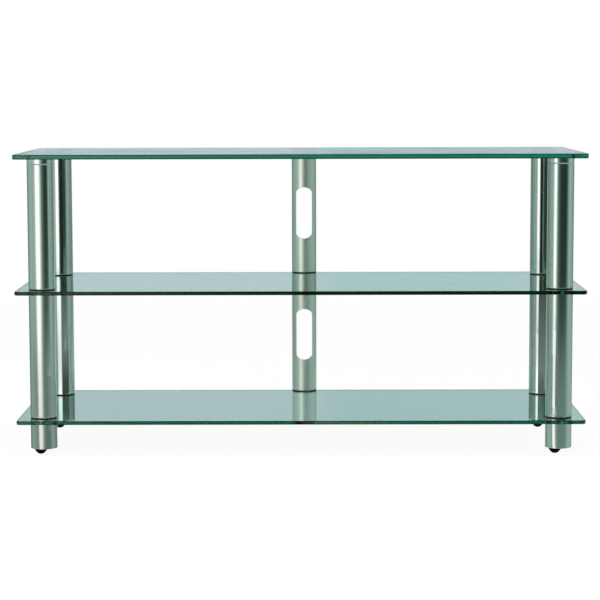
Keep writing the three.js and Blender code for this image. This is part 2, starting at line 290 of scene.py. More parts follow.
def onCircle(axis, radius, angle, height):
    return (axis[0] + radius * mm * math.cos(angle), axis[1] + radius * mm * math.sin(angle),
            height * mm)


# A solid turned about an upright axis. The profile runs out along the bottom, up the
# outside and in along the top; a ring's profile closes on itself. "grain" holds the way
# along the profile and the way round, in metres.
def turnedMesh(name, profile, piece, axis, ring=False):
    sides, edgeRound = piece["sides"], piece["edgeRound"]
    outline = roundedProfile(profile, edgeRound) if edgeRound else list(profile)
    bm = bmesh.new()
    grain = bm.loops.layers.uv.new("grain")
    rows, travelled = [], [0.0]
    for i, (r, z) in enumerate(outline):
        if i:
            travelled.append(travelled[-1] + math.dist(outline[i], outline[i - 1]))
        if r == 0:
            rows.append([bm.verts.new((axis[0], axis[1], z * mm))])
        else:
            rows.append([bm.verts.new(onCircle(axis, r, 2 * math.pi * k / sides, z))
                         for k in range(sides)])
    travelled.append(travelled[-1] + math.dist(outline[0], outline[-1]))
    girth = 2 * math.pi * max(r for r, z in outline) * mm
    for i in range(len(outline) if ring else len(outline) - 1):
        lower, upper = rows[i], rows[(i + 1) % len(outline)]
        startU, endU = travelled[i], travelled[i + 1]
        if len(lower) == len(upper) == 1:
            continue
        for k in range(sides):
            n = (k + 1) % sides
            below = [(lower[0], startU, k)]
            if len(lower) > 1:
                below = [(lower[k], startU, k), (lower[n], startU, k + 1)]
            above = [(upper[0], endU, k)]
            if len(upper) > 1:
                above = [(upper[n], endU, k + 1), (upper[k], endU, k)]
            face = bm.faces.new([vert for vert, _, _ in below + above])
            face.smooth = True
            for loop, (_, u, around) in zip(face.loops, below + above):
                loop[grain].uv = (u * mm, girth * around / sides)
    return objectFrom(name, bm)


# Face normals lead, so that a long straight wall isn't shaded by its small rounded rim.
def weighNormals(obj):
    steady = obj.modifiers.new("steadyNormals", "WEIGHTED_NORMAL")
    steady.mode = "FACE_AREA"
    steady.weight = 100
    steady.keep_sharp = True


# Keeps the true corners of an object sharp, and evens out the shading between them.
def shade(obj, sharpAngle):
    obj.data.set_sharp_from_angle(angle=math.radians(sharpAngle))
    weighNormals(obj)
    settle(obj)


def finishPiece(obj, material, node, body="rack"):
    obj.data.materials.clear()
    obj.data.materials.append(material)
    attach(obj, body)
    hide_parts(node)


glassPlate = {
    "cornerRadius": 10, "cornerSteps": 14, "arris": 1.0, "groundStrip": 0.6, "holeRadius": 6,
    "holeSides": 40, "holeArris": 0.5,
}


def plateOutline(low, high, radius, steps):
    points = []
    corners = ((high[0] - radius, high[1] - radius, 0), (low[0] + radius, high[1] - radius, 90),
               (low[0] + radius, low[1] + radius, 180), (high[0] - radius, low[1] + radius, 270))
    for x, y, start in corners:
        for k in range(steps + 1):
            angle = math.radians(start + 90 * k / steps)
            points.append((x + radius * math.cos(angle), y + radius * math.sin(angle)))
    return points


def makeGlass(shelf):
    node, name = shelf + "_glass", shelf + "_shelf_glass"
    low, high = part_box(node)
    s = glassPlate
    cornerRadius, arris, holeArris = (
        s[size] * mm for size in ("cornerRadius", "arris", "holeArris"))

    def outline(inset):
        return plateOutline((low.x + inset, low.y + inset), (high.x - inset, high.y - inset),
                            cornerRadius - inset, s["cornerSteps"])

    def hole(centre, grow):
        radius = s["holeRadius"] * mm + grow
        angles = [-2 * math.pi * k / s["holeSides"] for k in range(s["holeSides"])]
        return [(centre[0] + radius * math.cos(angle), centre[1] + radius * math.sin(angle))
                for angle in angles]

    centres = [axisOf(place + "_upper_tube") for place in legPlaces] if shelf != "top" else []
    faceLoops = [outline(arris)] + [hole(c, holeArris) for c in centres]
    sideLoops = [outline(0)] + [hole(c, 0) for c in centres]
    insets = [arris] + [holeArris] * len(centres)
    bm = bmesh.new()
    mask = bm.faces.layers.float.new("groundEdge")
    # Each border's loops from the bottom face up, and how the bands between them are ground:
    # arris, strip, edge, strip, arris
    strip = s["groundStrip"] * mm
    bandTones = (1.0, 1.0, 0.5, 1.0, 1.0)
    borders = []
    for faceLoop, sideLoop, inset in zip(faceLoops, sideLoops, insets):
        levels = [(faceLoop, low.z), (sideLoop, low.z + inset),
                  (sideLoop, low.z + inset + strip), (sideLoop, high.z - inset - strip),
                  (sideLoop, high.z - inset), (faceLoop, high.z)]
        borders.append([[bm.verts.new((x, y, z)) for x, y in loop] for loop, z in levels])
    flatTop = [v for border in borders for v in border[-1]]
    flatBottom = [v for border in borders for v in border[0]]
    for a, b, c in tessellate_polygon([[Vector((*p, 0)) for p in loop] for loop in faceLoops]):
        pa, pb, pc = (flatTop[i].co for i in (a, b, c))
        if (pb - pa).cross(pc - pa).z < 0:
            b, c = c, b
        bm.faces.new((flatTop[a], flatTop[b], flatTop[c]))
        bm.faces.new((flatBottom[c], flatBottom[b], flatBottom[a]))
    for border in borders:
        for lower, upper, tone in zip(border, border[1:], bandTones):
            for k in range(len(lower)):
                n = (k + 1) % len(lower)
                face = bm.faces.new((lower[k], lower[n], upper[n], upper[k]))
                face.smooth = True
                face[mask] = tone
    obj = objectFrom(name, bm)
    obj.data.set_sharp_from_angle(angle=math.radians(sharpFrom["glass"]))
    finishPiece(obj, floatGlass[shelf], node)


for shelf in glassTintsAndPaintedShade:
    makeGlass(shelf)
print("glass shelves made")


legTube = {"radius": 28, "wall": 1.5, "endRound": 0.45, "roundSteps": 4, "sides": 128}


def newShapeTree(name, inputs):
    tree = bpy.data.node_groups.new(name, "GeometryNodeTree")
    for label, kind in inputs.items():
        tree.interface.new_socket(label, in_out="INPUT", socket_type="NodeSocket" + kind)
    tree.interface.new_socket("Geometry", in_out="OUTPUT", socket_type="NodeSocketGeometry")
    return tree, addNode(tree, "NodeGroupInput")


def endShapeTree(tree, shape, finish):
    real = addNode(tree, "GeometryNodeRealizeInstances", inputs={0: shape})
    painted = addNode(tree, "GeometryNodeSetMaterial", inputs={
        "Geometry": real[0], "Material": finish})
    addNode(tree, "NodeGroupOutput", inputs={0: painted[0]})


# Hangs a tree on an object. A modifier's inputs go by their sockets' identifiers.
def addShape(obj, tree, values):
    shape = obj.modifiers.new("shape", "NODES")
    shape.node_group = tree
    for item in tree.interface.items_tree:
        if item.in_out == "INPUT" and item.name in values:
            shape[item.identifier] = values[item.name]


def grown(name, tree, values):
    obj = linked(bpy.data.objects.new(name, bpy.data.meshes.new(name)))
    addShape(obj, tree, values)
    weighNormals(obj)
    settle(obj)
    return obj


# The tube's wall in section, a filleted strip, swept round a circle.
def tubeTree():
    tree, given = newShapeTree("tubeSweep", {
        "Radius": "Float", "Wall": "Float", "Length": "Float", "End Round": "Float",
        "Sides": "Int", "Foot": "Vector", "Finish": "Material"})
    halfWall, halfLength = (
        addNode(tree, "ShaderNodeMath", {"operation": "MULTIPLY"}, {0: given[size], 1: 0.5})[0]
        for size in ("Wall", "Length"))
    middle = addNode(tree, "ShaderNodeMath", {"operation": "SUBTRACT"}, {
        0: given["Radius"], 1: halfWall})
    path = addNode(tree, "GeometryNodeCurvePrimitiveCircle", inputs={
        "Resolution": given["Sides"], "Radius": middle[0]})
    section = addNode(tree, "GeometryNodeCurvePrimitiveQuadrilateral", inputs={
        "Width": given["Wall"], "Height": given["Length"]})
    filleted = addNode(tree, "GeometryNodeFilletCurve", {"mode": "POLY"}, {
        "Curve": section[0], "Count": legTube["roundSteps"], "Radius": given["End Round"]})
    swept = addNode(tree, "GeometryNodeCurveToMesh", inputs={
        "Curve": path[0], "Profile Curve": filleted[0]})
    spot = addNode(tree, "GeometryNodeInputPosition")
    apart = addNode(tree, "ShaderNodeSeparateXYZ", inputs={0: spot[0]})
    turn = addNode(tree, "ShaderNodeMath", {"operation": "ARCTAN2"}, {
        0: apart["Y"], 1: apart["X"]})
    around = addNode(tree, "ShaderNodeMath", {"operation": "MULTIPLY"}, {
        0: turn[0], 1: given["Radius"]})
    grain = addNode(tree, "ShaderNodeCombineXYZ", inputs={"X": apart["Z"], "Y": around[0]})
    marked = addNode(tree, "GeometryNodeStoreNamedAttribute", {
        "data_type": "FLOAT2", "domain": "CORNER"}, {
        "Geometry": swept[0], "Name": "grain", "Value": grain[0]})
    lift = addNode(tree, "ShaderNodeCombineXYZ", inputs={"Z": halfLength})
    middleSpot = addNode(tree, "ShaderNodeVectorMath", {"operation": "ADD"}, {
        0: given["Foot"], 1: lift[0]})
    placed = addNode(tree, "GeometryNodeTransform", inputs={
        "Geometry": marked[0], "Translation": middleSpot[0]})
    endShapeTree(tree, placed[0], given["Finish"])
    return tree


tubeSweep = tubeTree()


def makeTube(node, name):
    low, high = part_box(node)
    x, y = axisOf(node)
    obj = grown(name, tubeSweep, {
        "Radius": legTube["radius"] * mm, "Wall": legTube["wall"] * mm, "Length": high.z - low.z,
        "End Round": legTube["endRound"] * mm, "Sides": legTube["sides"],
        "Foot": (x, y, low.z), "Finish": polishedTube})
    finishPiece(obj, polishedTube, node)


for place in legPlaces:
    for part in ("upper", "lower", "foot"):
        makeTube(f"{place}_{part}_tube", f"{place}_{part}_leg_tube")
print("leg tubes made")


# A slot's ends are shallow arcs, "slotCrown" high. "frontSlotLift" is how far a front slot
# lies above the middle of its tube.
cableTube = {
    "radius": 28, "wall": 1.5, "slotWidth": 36, "slotCrown": 10.7,
    "frontSlotHeight": 117, "backSlotHeight": 136, "frontSlotLift": {"upper": 4.6, "lower": -0.6},
    "slotColumns": 24, "sideColumns": 40, "edgeRound": 0.3, "edgeSteps": 2,
}


# The tube's wall as columns round it. Each holds its angle outside and inside, the bottom
# and top of the slot's height there, and whether the slot is open to the next column.
def cableTubeColumns(which, length):
    s = cableTube
    outer, inner, half = s["radius"], s["radius"] - s["wall"], s["slotWidth"] / 2
    endRadius = (half ** 2 + s["slotCrown"] ** 2) / (2 * s["slotCrown"])
    outerEdge, innerEdge = math.asin(half / outer), math.asin(half / inner)
    sideReach = math.sqrt(endRadius ** 2 - half ** 2)
    slots = ((0, s["frontSlotHeight"] / 2 - endRadius, length / 2 + s["frontSlotLift"][which]),
             (math.pi, s["backSlotHeight"] / 2 - endRadius, length / 2))
    columns = []
    for (side, endCentre, middle), (_, otherCentre, otherMiddle) in (slots, slots[::-1]):
        for k in range(s["slotColumns"] + 1):
            angle = outerEdge * (2 * k / s["slotColumns"] - 1)
            x = outer * math.sin(angle)
            reach = endCentre + math.sqrt(endRadius ** 2 - x ** 2)
            columns.append((side + angle, side + math.asin(max(-1, min(1, x / inner))),
                            middle - reach, middle + reach, k < s["slotColumns"]))
        # Between the slots the rows slide from the one's ends to the other's.
        reach, otherReach = endCentre + sideReach, otherCentre + sideReach
        for k in range(1, s["sideColumns"]):
            t = k / s["sideColumns"]
            columns.append((
                side + outerEdge + t * (math.pi - 2 * outerEdge),
                side + innerEdge + t * (math.pi - 2 * innerEdge),
                (1 - t) * (middle - reach) + t * (otherMiddle - otherReach),
                (1 - t) * (middle + reach) + t * (otherMiddle + otherReach), False))
    return columns


def makeCableTube(which):
    node, name = which + "_cable_tube", which + "_slotted_cable_tube"
    s = cableTube
    low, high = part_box(node)
    axisX, axisY = axisOf(node)
    length = (high.z - low.z) / mm
    columns = cableTubeColumns(which, length)
    count = len(columns)
    bm = bmesh.new()
    grain = bm.loops.layers.uv.new("grain")
    walls = []
    for outerAngle, innerAngle, slotBottom, slotTop, _ in columns:
        walls.append([
            [bm.verts.new((axisX + radius * mm * math.sin(angle),
                           axisY - radius * mm * math.cos(angle), low.z + height * mm))
             for height in (0, slotBottom, slotTop, length)]
            for radius, angle in ((s["radius"], outerAngle),
                                  (s["radius"] - s["wall"], innerAngle))])

    def quad(corners):
        face = bm.faces.new([walls[c % count][shell][row] for c, shell, row in corners])
        face.smooth = True
        for loop, (c, shell, row) in zip(face.loops, corners):
            angle = columns[c % count][0] + (2 * math.pi if c >= count else 0)
            loop[grain].uv = (loop.vert.co.z - low.z + shell * s["wall"] * mm,
                              angle * s["radius"] * mm)

    # The wall's upright section as closed rings of shell and row: one where the wall is
    # whole, and two at a slot
    plain = [[(0, 0), (0, 1), (0, 2), (0, 3), (1, 3), (1, 2), (1, 1), (1, 0)]]
    slotted = [[(0, 0), (0, 1), (1, 1), (1, 0)], [(0, 2), (0, 3), (1, 3), (1, 2)]]
    for c in range(count):
        inSlot, afterSlot = columns[c][4], columns[c - 1][4]
        for ring in slotted if inSlot else plain:
            for a, b in zip(ring, ring[1:] + ring[:1]):
                quad(((c, *a), (c + 1, *a), (c + 1, *b), (c, *b)))
        if inSlot != afterSlot:
            side = ((c, 0, 1), (c, 1, 1), (c, 1, 2), (c, 0, 2))
            quad(side if inSlot else side[::-1])
    obj = objectFrom(name, bm)
    rounding = obj.modifiers.new("rounding", "BEVEL")
    rounding.width = s["edgeRound"] * mm
    rounding.segments = s["edgeSteps"]
    rounding.limit_method = "ANGLE"
    rounding.angle_limit = math.radians(sharpFrom["slotted"])
    weighNormals(obj)
    settle(obj)
    finishPiece(obj, brushedTube, node)


makeCableTube("upper")
makeCableTube("lower")
print("cable tubes made")


disc = {"radius": 28, "height": 10, "holeRadius": 4.3, "holeDepth": 8, "edgeRound": 0.6,
        "sides": 128, "bossRadius": 8}
plug = {"flangeRadius": 27.6, "flange": 1.8, "spigotRadius": 26.2, "spigot": 8, "holeRadius": 4.3,
        "centreHoleRadius": 8.3, "sides": 96, "edgeRound": 0.3}


def turnedPiece(name, profile, piece, axis, ring, material, node):
    obj = turnedMesh(name, profile, piece, axis, ring)
    shade(obj, sharpFrom["turned"])
    finishPiece(obj, material, node)


for place in legPlaces:
    node = place + "_top_disc"
    bottom, top = heightsOf(node)
    holeTop = bottom + disc["holeDepth"]
    turnedPiece(
        place + "_leg_cap_disc",
        [(0, holeTop), (disc["holeRadius"], holeTop), (disc["holeRadius"], bottom),
         (disc["radius"], bottom), (disc["radius"], top), (0, top)],
        disc, axisOf(node), False, buffedSteel, node)

node = "cable_tube_top_disc"
bottom, top = heightsOf(node)
shoulder = top - disc["height"]
turnedPiece(
    "cable_tube_cap_disc",
    [(0, bottom), (disc["bossRadius"], bottom), (disc["bossRadius"], shoulder),
     (disc["radius"], shoulder), (disc["radius"], top), (0, top)],
    disc, axisOf(node), False, buffedSteel, node)


# A flange, its face towards the glass at "face", and a spigot that runs off it up or down
def flangedProfile(piece, bore, face, upwards):
    way = 1 if upwards else -1
    shoulder, end = face + way * piece["flange"], face + way * (piece["flange"] + piece["spigot"])
    points = [(bore, face), (piece["flangeRadius"], face), (piece["flangeRadius"], shoulder),
              (piece["spigotRadius"], shoulder), (piece["spigotRadius"], end)]
    if "spigotBore" in piece:
        points += [(piece["spigotBore"], end), (piece["spigotBore"], shoulder), (bore, shoulder)]
    else:
        points.append((bore, end))
    return points if upwards else points[::-1]


plugPlaces = {"foot_tube_top": False, "lower_tube_bottom": True, "lower_tube_top": False,
              "upper_tube_bottom": True, "upper_tube_top": False}   # spigot upwards or not
for place in legPlaces:
    for where, upwards in plugPlaces.items():
        node = f"{place}_{where}_plug"
        material, slot = blackNylon, "black_nylon"
        if where == "upper_tube_top":
            material, slot = naturalNylonInShade, "natural_nylon"
        bottom, top = heightsOf(node)
        turnedPiece(
            f"{place}_{where}_end_plug",
            flangedProfile(plug, plug["holeRadius"], bottom if upwards else top, upwards),
            plug, axisOf(place + "_upper_tube"), True, material, node)
turnedPiece(
    "cable_tube_end_plug",
    flangedProfile(plug, plug["centreHoleRadius"], heightsOf("cable_tube_top_plug")[1], False),
    plug, axisOf("upper_cable_tube"), True, blackNylon, "cable_tube_top_plug")
print("discs and plugs made")


# Joins a second mesh to an object, or cuts it away.
def combine(obj, other, operation):
    mixing = obj.modifiers.new("mixing", "BOOLEAN")
    mixing.operation = operation
    mixing.solver = "EXACT"
    mixing.object = other
    settle(obj)
    bpy.data.objects.remove(other)


weldReach = 0.002


# Welds what a boolean left, and turns every face outwards.
def cleanUp(obj):
    bm = bmesh.new()
    bm.from_mesh(obj.data)
    bmesh.ops.remove_doubles(bm, verts=bm.verts, dist=weldReach * mm)
    bmesh.ops.recalc_face_normals(bm, faces=bm.faces)
    for face in bm.faces:
        face.smooth = True
    bm.to_mesh(obj.data)
    bm.free()
    shade(obj, sharpFrom["joined"])


# Moulded joiners on the glass's back edge: a ring above and below the glass, spigots in the
# tubes' ends, and a half round neck behind the edge. The neck runs a little way into the
# rings ("overlap"), and its bore is a little wider than theirs ("boreEase"), so that they join
# cleanly.
joiner = {"bore": 17, "neckRadius": 20.5, "neckGap": 0.3, "flangeRadius": 27.6, "flange": 1.8,
          "spigotRadius": 26.2, "spigotBore": 23.2, "spigot": 8, "baseFlange": 3, "seat": 0.1,
          "overlap": 0.6, "boreEase": 0.02, "edgeRound": 0.4, "sides": 96, "neckSides": 48}


def joinerNeck(name, axis, bottom, top):
    j = joiner
    bm = bmesh.new()
    section = []
    outer, inner = j["neckRadius"], j["bore"] + j["boreEase"]
    for radius, height in ((outer, bottom), (outer, top), (inner, top), (inner, bottom)):
        lift = math.asin(j["neckGap"] / radius)
        section.append([
            bm.verts.new(onCircle(axis, radius, lift + (math.pi - 2 * lift) * k / j["neckSides"],
                                  height)) for k in range(j["neckSides"] + 1)])
    for a, b in zip(section, section[1:] + section[:1]):
        for k in range(j["neckSides"]):
            bm.faces.new((a[k], a[k + 1], b[k + 1], b[k]))
    bm.faces.new([row[0] for row in section])
    bm.faces.new([row[-1] for row in section[::-1]])
    return objectFrom(name, bm)


def makeJoiner(name, node, shelf, onFloor):
    low, high = heightsOf(shelf + "_glass")
    under, over = low - joiner["seat"], high + joiner["seat"]
    axis, bore = axisOf(node), joiner["bore"]
    body = turnedMesh(name, flangedProfile(joiner, bore, over, True), joiner, axis, True)
    neck = joinerNeck("neck", axis, under - joiner["overlap"], over + joiner["overlap"])
    lowerProfile = flangedProfile(joiner, bore, under, False)
    if onFloor:
        bottom, radius = under - joiner["baseFlange"], joiner["flangeRadius"]
        lowerProfile = [(bore, bottom), (radius, bottom), (radius, under), (bore, under)]
    lower = turnedMesh("lowerRing", lowerProfile, joiner, axis, True)
    combine(body, neck, "UNION")
    combine(body, lower, "UNION")
    cleanUp(body)
    finishPiece(body, blackNylon, node)


makeJoiner("cable_tube_moulded_joiner", "cable_tube_joiner", "middle", False)
makeJoiner("cable_tube_moulded_base", "cable_tube_base", "bottom", True)
print("joiners made")


rod = {"radius": 4, "chamfer": 0.6, "sides": 48, "edgeRound": 0}
insert = {"radius": 26.2, "rodHole": 4.3, "rodHoleDepth": 12, "stemHole": 4.3, "stemHoleDepth": 18,
          "stemOffset": -7, "edgeRound": 0.7, "sides": 96}
drillBit = {"sides": 96, "edgeRound": 0, "overrun": 1}

for place in legPlaces:
    axis = axisOf(place + "_upper_tube")
    bottom, top = heightsOf(place + "_tie_rod")
    r, c = rod["radius"], rod["chamfer"]
    turnedPiece(
        place + "_plated_tie_rod",
        [(0, bottom), (r - c, bottom), (r, bottom + c), (r, top - c), (r - c, top), (0, top)],
        rod, axis, False, zincSteel, place + "_tie_rod")
    bottom, top = heightsOf(place + "_foot_insert")
    rodFloor, start = top - insert["rodHoleDepth"], bottom - drillBit["overrun"]
    stemTop = bottom + insert["stemHoleDepth"]
    body = turnedMesh(
        place + "_turned_insert",
        [(0, bottom), (insert["radius"], bottom), (insert["radius"], top),
         (insert["rodHole"], top), (insert["rodHole"], rodFloor), (0, rodFloor)], insert, axis)
    drill = turnedMesh(
        "drill", [(0, start), (insert["stemHole"], start), (insert["stemHole"], stemTop),
                  (0, stemTop)], drillBit, (axis[0] + insert["stemOffset"] * mm, axis[1]))
    combine(body, drill, "DIFFERENCE")
    cleanUp(body)
    finishPiece(body, turnedAluminium, place + "_foot_insert")
print("rods and inserts made")


# Levelling feet. A rubber pad, its rim fluted for the fingers, on a plated threaded stem.
# "curve" bends the dome, and the flutes fade in over "fluteRise", as shares of its height.
foot = {"padRadius": 5.25, "radius": 13.5, "domeHeight": 10, "rimHeight": 1.7, "bossRadius": 8,
        "bossHeight": 2, "curve": (0.7, 0.4), "domeSteps": 20, "sides": 144, "edgeRound": 0.35,
        "flutes": 24, "fluteDepth": 0.45, "fluteRise": (0.5, 0.95), "fluteReach": 0.93,
        "stemRadius": 4, "stemLength": 16, "stemSink": 1.5, "stemSides": 48, "pitch": 1.25,
        "threadDepth": 0.6, "threadSteps": 32, "threadSides": 6}


def padProfile():
    f = foot
    overhang = f["radius"] - f["padRadius"]
    bend = (f["padRadius"] + f["curve"][0] * overhang, f["curve"][1] * f["domeHeight"])
    rimTop = f["domeHeight"] + f["rimHeight"]
    shoulder = rimTop + f["bossHeight"]
    points = [(0, 0)]
    for k in range(f["domeSteps"] + 1):
        t = k / f["domeSteps"]
        points.append((curved(f["padRadius"], bend[0], f["radius"], t),
                       curved(0, bend[1], f["domeHeight"], t)))
    return points + [(f["radius"], rimTop), (f["bossRadius"], rimTop),
                     (f["bossRadius"], shoulder), (0, shoulder)]


# Draws the rim's flutes into a turned pad: strongest at the rim, fading down the dome.
def fluteTree():
    tree, given = newShapeTree("rimFlutes", {
        "Shape": "Geometry", "Axis": "Vector", "Count": "Float", "Depth": "Float",
        "Low": "Float", "High": "Float", "Inner Radius": "Float", "Outer Radius": "Float",
        "Finish": "Material"})
    spot = addNode(tree, "GeometryNodeInputPosition")
    away = addNode(tree, "ShaderNodeVectorMath", {"operation": "SUBTRACT"}, {
        0: spot[0], 1: given["Axis"]})
    flat = addNode(tree, "ShaderNodeVectorMath", {"operation": "MULTIPLY"}, {
        0: away[0], 1: (1, 1, 0)})
    reach = addNode(tree, "ShaderNodeVectorMath", {"operation": "LENGTH"}, {0: flat[0]})
    apart = addNode(tree, "ShaderNodeSeparateXYZ", inputs={0: away[0]})
    turn = addNode(tree, "ShaderNodeMath", {"operation": "ARCTAN2"}, {
        0: apart["Y"], 1: apart["X"]})
    many = addNode(tree, "ShaderNodeMath", {"operation": "MULTIPLY"}, {
        0: turn[0], 1: given["Count"]})
    wave = addNode(tree, "ShaderNodeMath", {"operation": "COSINE"}, {0: many[0]})
    # How far into a groove, up the dome and out towards the rim a point lies
    groove, climb, atRim = (
        addNode(tree, "ShaderNodeMapRange", {"interpolation_type": "SMOOTHSTEP"}, {
            0: source, 1: start, 2: end, 3: 0.0, 4: 1.0})[0]
        for source, start, end in (
            (wave[0], 0.0, 1.0), (apart["Z"], given["Low"], given["High"]),
            (reach["Value"], given["Inner Radius"], given["Outer Radius"])))
    push = groove
    for factor in (climb, atRim, given["Depth"], -1.0):
        push = addNode(tree, "ShaderNodeMath", {"operation": "MULTIPLY"}, {
            0: push, 1: factor})[0]
    outwards = addNode(tree, "ShaderNodeVectorMath", {"operation": "NORMALIZE"}, {0: flat[0]})
    inwards = addNode(tree, "ShaderNodeVectorMath", {"operation": "SCALE"}, {
        0: outwards[0], "Scale": push})
    fluted = addNode(tree, "GeometryNodeSetPosition", inputs={
        "Geometry": given["Shape"], "Offset": inwards[0]})
    endShapeTree(tree, fluted[0], given["Finish"])
    return tree


# A threaded stem: a core, and a ridge that climbs round it as a helix.
def threadTree():
    tree, given = newShapeTree("threadedStem", {
        "Foot": "Vector", "Length": "Float", "Core Radius": "Float", "Crest Radius": "Float",
        "Pitch": "Float", "Finish": "Material"})
    ridge, rise = (
        addNode(tree, "ShaderNodeMath", {"operation": "SUBTRACT"}, {0: given[a], 1: given[b]})[0]
        for a, b in (("Crest Radius", "Core Radius"), ("Length", "Pitch")))
    turns = addNode(tree, "ShaderNodeMath", {"operation": "DIVIDE"}, {0: rise, 1: given["Pitch"]})
    helix = addNode(tree, "GeometryNodeCurveSpiral", inputs={
        "Resolution": foot["threadSteps"], "Rotations": turns[0],
        "Start Radius": given["Core Radius"], "End Radius": given["Core Radius"],
        "Height": rise, "Reverse": False})
    section = addNode(tree, "GeometryNodeCurvePrimitiveCircle", inputs={
        "Resolution": foot["threadSides"], "Radius": ridge})
    thread = addNode(tree, "GeometryNodeCurveToMesh", inputs={
        "Curve": helix[0], "Profile Curve": section[0], "Fill Caps": True})
    core = addNode(tree, "GeometryNodeMeshCylinder", inputs={
        "Vertices": foot["stemSides"], "Radius": given["Core Radius"], "Depth": given["Length"]})
    joined = addNode(tree, "GeometryNodeJoinGeometry")
    # The core is made about its middle, and the thread starts half a pitch up.
    for shape, size in ((core, "Length"), (thread, "Pitch")):
        half = addNode(tree, "ShaderNodeMath", {"operation": "MULTIPLY"}, {
            0: given[size], 1: 0.5})
        lift = addNode(tree, "ShaderNodeCombineXYZ", inputs={"Z": half[0]})
        raised = addNode(tree, "GeometryNodeTransform", inputs={
            "Geometry": shape[0], "Translation": lift[0]})
        tree.links.new(raised[0], joined[0].node.inputs[0])
    placed = addNode(tree, "GeometryNodeTransform", inputs={
        "Geometry": joined[0], "Translation": given["Foot"]})
    endShapeTree(tree, placed[0], given["Finish"])
    return tree


rimFlutes = fluteTree()
threadedStem = threadTree()


def makeFoot(place):
    f = foot
    node, body = place + "_levelling_foot", place + "_foot"
    axis = axisOf(node)
    fluteLow, fluteHigh = (share * f["domeHeight"] * mm for share in f["fluteRise"])
    pad = turnedMesh(place + "_foot_pad", padProfile(), f, axis)
    addShape(pad, rimFlutes, {
        "Axis": (*axis, 0), "Count": f["flutes"], "Depth": f["fluteDepth"] * mm,
        "Low": fluteLow, "High": fluteHigh, "Inner Radius": f["bossRadius"] * mm,
        "Outer Radius": f["fluteReach"] * f["radius"] * mm, "Finish": blackRubber})
    settle(pad)
    shade(pad, sharpFrom["pad"])
    finishPiece(pad, blackRubber, node, body)
    stemFoot = f["domeHeight"] + f["rimHeight"] + f["bossHeight"] - f["stemSink"]
    stem = grown(place + "_foot_stem", threadedStem, {
        "Foot": (*axis, stemFoot * mm), "Length": (f["stemLength"] + f["stemSink"]) * mm,
        "Core Radius": (f["stemRadius"] - f["threadDepth"]) * mm,
        "Crest Radius": f["stemRadius"] * mm, "Pitch": f["pitch"] * mm, "Finish": zincSteel})
    finishPiece(stem, zincSteel, node, body)


for place in legPlaces:
    makeFoot(place)
print("levelling feet made")


# As fitted to the photograph: place in millimetres, turns in radians.
camera = {"place": (21.2, -4528.1, 788.4), "pitch": 0.1055, "yaw": -0.0052, "roll": -0.0025,
          "lens": 123.85, "sensor": 36, "sees": 100}


def makeCamera():
    pitch, yaw, roll = camera["pitch"], camera["yaw"], camera["roll"]
    ahead = Vector((math.sin(yaw) * math.cos(pitch), math.cos(yaw) * math.cos(pitch),
                    -math.sin(pitch)))
    level = Vector((math.cos(yaw), -math.sin(yaw), 0))
    over = level.cross(ahead)
    right = math.cos(roll) * level + math.sin(roll) * over
    up = math.cos(roll) * over - math.sin(roll) * level
    data = bpy.data.cameras.new("studioCamera")
    data.lens = camera["lens"]
    data.sensor_width = camera["sensor"]
    data.clip_end = camera["sees"]
    obj = linked(bpy.data.objects.new("studioCamera", data))
    turn = Matrix((right, up, -ahead)).transposed().to_4x4()
    obj.matrix_world = Matrix.Translation(Vector(camera["place"]) * mm) @ turn
    bpy.context.scene.camera = obj


makeCamera()


# A white room, in metres. The floor lies a hair below the feet, and its own white grows from
# "floorGlow" under the rack to full over "glowReach", so the rack keeps its shadow.
studio = {"worldTone": "#F4F6F5", "worldLight": 0.55, "floorRadius": 30.0, "floorDrop": 0.0002,
          "floorTones": ("#EDEFEE", "#F2F4F3"), "mottleScale": 3.0, "mottleDetail": 3.0,
          "floorGlow": 0.93, "glowReach": (1.2, 3.5)}


def seenDirectly(tree):
    path = addNode(tree, "ShaderNodeLightPath")
    seen = path["Is Camera Ray"]
    for ray in ("Is Transmission Ray", "Is Glossy Ray"):
        seen = addNode(tree, "ShaderNodeMath", {"operation": "MAXIMUM"}, {
            0: seen, 1: path[ray]})[0]
    return seen


def makeWorld():
    world = bpy.data.worlds.new("paleStudio")
    world.use_nodes = True
    tree = world.node_tree
    tree.nodes.clear()
    light = addNode(tree, "ShaderNodeBackground", inputs={
        "Color": linear(studio["worldTone"]), "Strength": studio["worldLight"]})
    white = addNode(tree, "ShaderNodeBackground", inputs={
        "Color": (1, 1, 1, 1), "Strength": 1.0})
    both = addNode(tree, "ShaderNodeMixShader", inputs={
        0: seenDirectly(tree), 1: light[0], 2: white[0]})
    addNode(tree, "ShaderNodeOutputWorld", inputs={0: both[0]})
    bpy.context.scene.world = world


